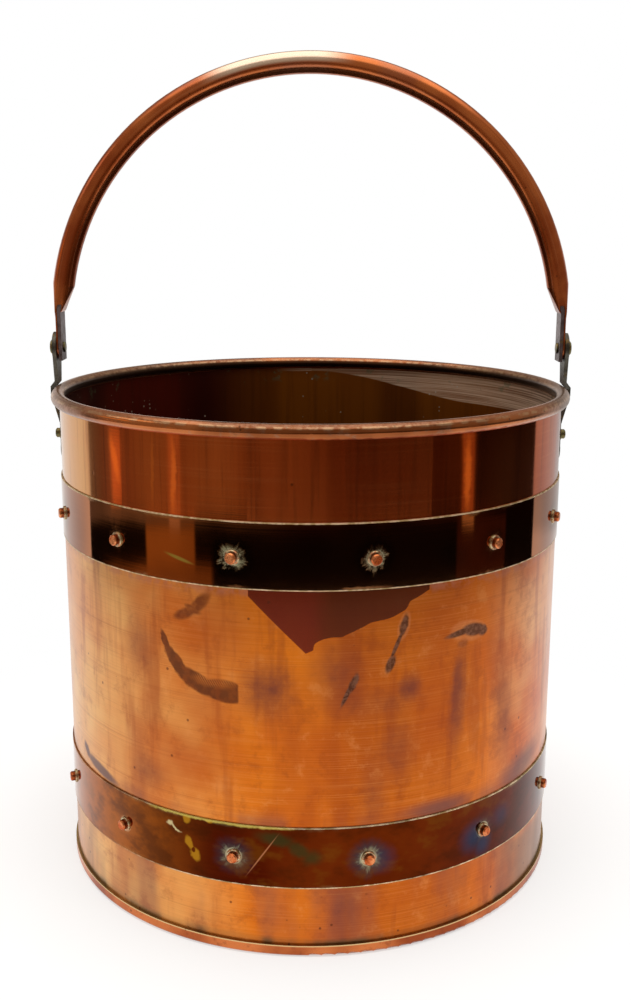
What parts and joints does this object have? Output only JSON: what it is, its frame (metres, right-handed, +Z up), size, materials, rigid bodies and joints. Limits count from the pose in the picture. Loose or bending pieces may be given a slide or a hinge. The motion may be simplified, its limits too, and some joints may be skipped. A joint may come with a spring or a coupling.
{
  "type": "riveted copper bucket",
  "caption": "Round copper log or coal bucket with a wired rim, two riveted bands, a flanged base and an arched tube handle that swings on iron lugs.",
  "frame": {"origin": "middle of the underside of the base, on the ground", "axes": "+Z up the bucket; X through the two lugs and along the handle's pivot line; the front faces -Y"},
  "size_m": [0.3462, 0.3404, 0.5306],
  "materials": {
    "wall_copper": "brushed, orange-brown and tarnished",
    "base_copper": "brushed, darker at the edge",
    "wire_iron": "plain",
    "upper_band_copper": "polished, dark brown",
    "lower_band_copper": "polished, red-brown with heat tint",
    "rivet_copper": "bright worn copper",
    "washer_copper": "dull, with green corrosion",
    "lug_iron": "dull forged grey",
    "handle_copper": "polished by handling",
    "tang_iron": "dull grey",
    "pin_copper": "dull, with green corrosion"
  },
  "bodies": {
    "bucket": {"body": "wall_copper", "base": "base_copper", "rim_wire": "wire_iron", "upper_band": "upper_band_copper", "lower_band": "lower_band_copper", "upper_band_rivets": "rivet_copper", "lower_band_rivets": "rivet_copper", "upper_band_washers": "washer_copper", "lower_band_washers": "washer_copper", "left_lug": "lug_iron", "right_lug": "lug_iron", "left_lug_rivet": "rivet_copper", "right_lug_rivet": "rivet_copper", "left_lug_washer": "washer_copper", "right_lug_washer": "washer_copper", "left_pivot_pin": "pin_copper", "right_pivot_pin": "pin_copper"},
    "handle": {"handle_tube": "handle_copper", "left_handle_tang": "tang_iron", "right_handle_tang": "tang_iron"}
  },
  "joints": [
    {"name": "handle_swing", "type": "hinge", "parent": "bucket", "child": "handle", "pos_m": [0, 0, 0.344], "axis": [1, 0, 0], "range_deg": [-98, 98]}
  ]
}
